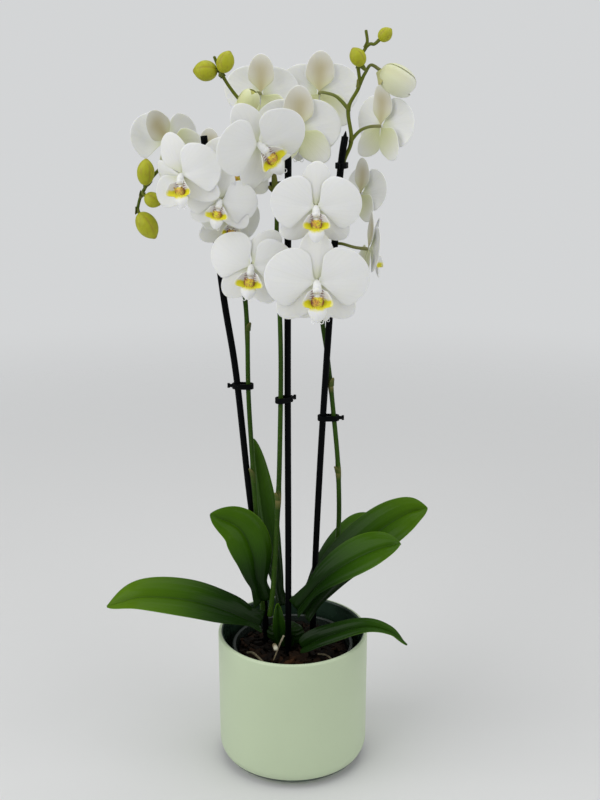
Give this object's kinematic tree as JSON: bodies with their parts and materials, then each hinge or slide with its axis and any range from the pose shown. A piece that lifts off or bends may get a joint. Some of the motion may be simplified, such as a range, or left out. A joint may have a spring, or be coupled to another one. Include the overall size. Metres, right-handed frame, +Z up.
{
  "type": "potted orchid",
  "caption": "White moth orchid in flower in a clear nursery pot inside a straight sage green ceramic cover pot, its flower stems clipped to black stakes.",
  "frame": {"origin": "centre of the cover pot's flat base, on the surface it stands on", "axes": "+Z up the pot's axis; -Y is the front, the side the flowers mostly face; +X to the right seen from the front"},
  "size_m": [0.302, 0.1466, 0.6841],
  "materials": {
    "pot": "satin sage green glaze",
    "nursery_plastic": "thin clear plastic, slightly smoky",
    "bark": "rough damp bark chips",
    "leaf": "waxy glossy leaf, paler edge and midrib",
    "stem": "smooth green stem",
    "bud": "yellow-green bud with a white-green opening one",
    "root": "pale matte root",
    "support_plastic": "black moulded plastic",
    "petal": "soft white petal with faint veins, yellow-green backs",
    "flower_lip": "white lip with yellow lobes and a red-brown centre"
  },
  "bodies": {
    "root": {"bark_mix": "bark", "clip_left": "support_plastic", "clip_middle": "support_plastic", "clip_middle_upper": "support_plastic", "clip_right": "support_plastic", "clip_right_upper": "support_plastic", "cover_pot": "pot", "crown": "stem", "flower_left_1": "petal", "flower_left_1_lip": "flower_lip", "flower_left_2": "petal", "flower_left_2_lip": "flower_lip", "flower_left_3": "petal", "flower_left_3_lip": "flower_lip", "flower_left_4": "petal", "flower_left_4_lip": "flower_lip", "flower_left_5": "petal", "flower_left_5_lip": "flower_lip", "flower_left_6": "petal", "flower_left_6_lip": "flower_lip", "flower_middle_1": "petal", "flower_middle_1_lip": "flower_lip", "flower_middle_2": "petal", "flower_middle_2_lip": "flower_lip", "flower_middle_3": "petal", "flower_middle_3_lip": "flower_lip", "flower_middle_4": "petal", "flower_middle_4_lip": "flower_lip", "flower_middle_5": "petal", "flower_middle_5_lip": "flower_lip", "flower_middle_6": "petal", "flower_middle_6_lip": "flower_lip", "flower_right_1": "petal", "flower_right_1_lip": "flower_lip", "flower_right_2": "petal", "flower_right_2_lip": "flower_lip", "flower_right_3": "petal", "flower_right_3_lip": "flower_lip", "flower_right_4": "petal", "flower_right_4_lip": "flower_lip", "flower_right_5": "petal", "flower_right_5_lip": "flower_lip", "flower_stem_left": "stem", "flower_stem_middle": "stem", "flower_stem_right": "stem", "leaf_back": "leaf", "leaf_left": "leaf", "leaf_left_upright": "leaf", "leaf_right_back": "leaf", "leaf_right_front": "leaf", "leaf_right_rear": "leaf", "leaf_right_small": "leaf", "leaf_sheath": "leaf", "nursery_pot": "nursery_plastic", "opening_bud_middle": "bud", "opening_bud_right": "bud", "root_front": "root", "stake_left": "support_plastic", "stake_middle": "support_plastic", "stake_right": "support_plastic"}
  },
  "joints": []
}
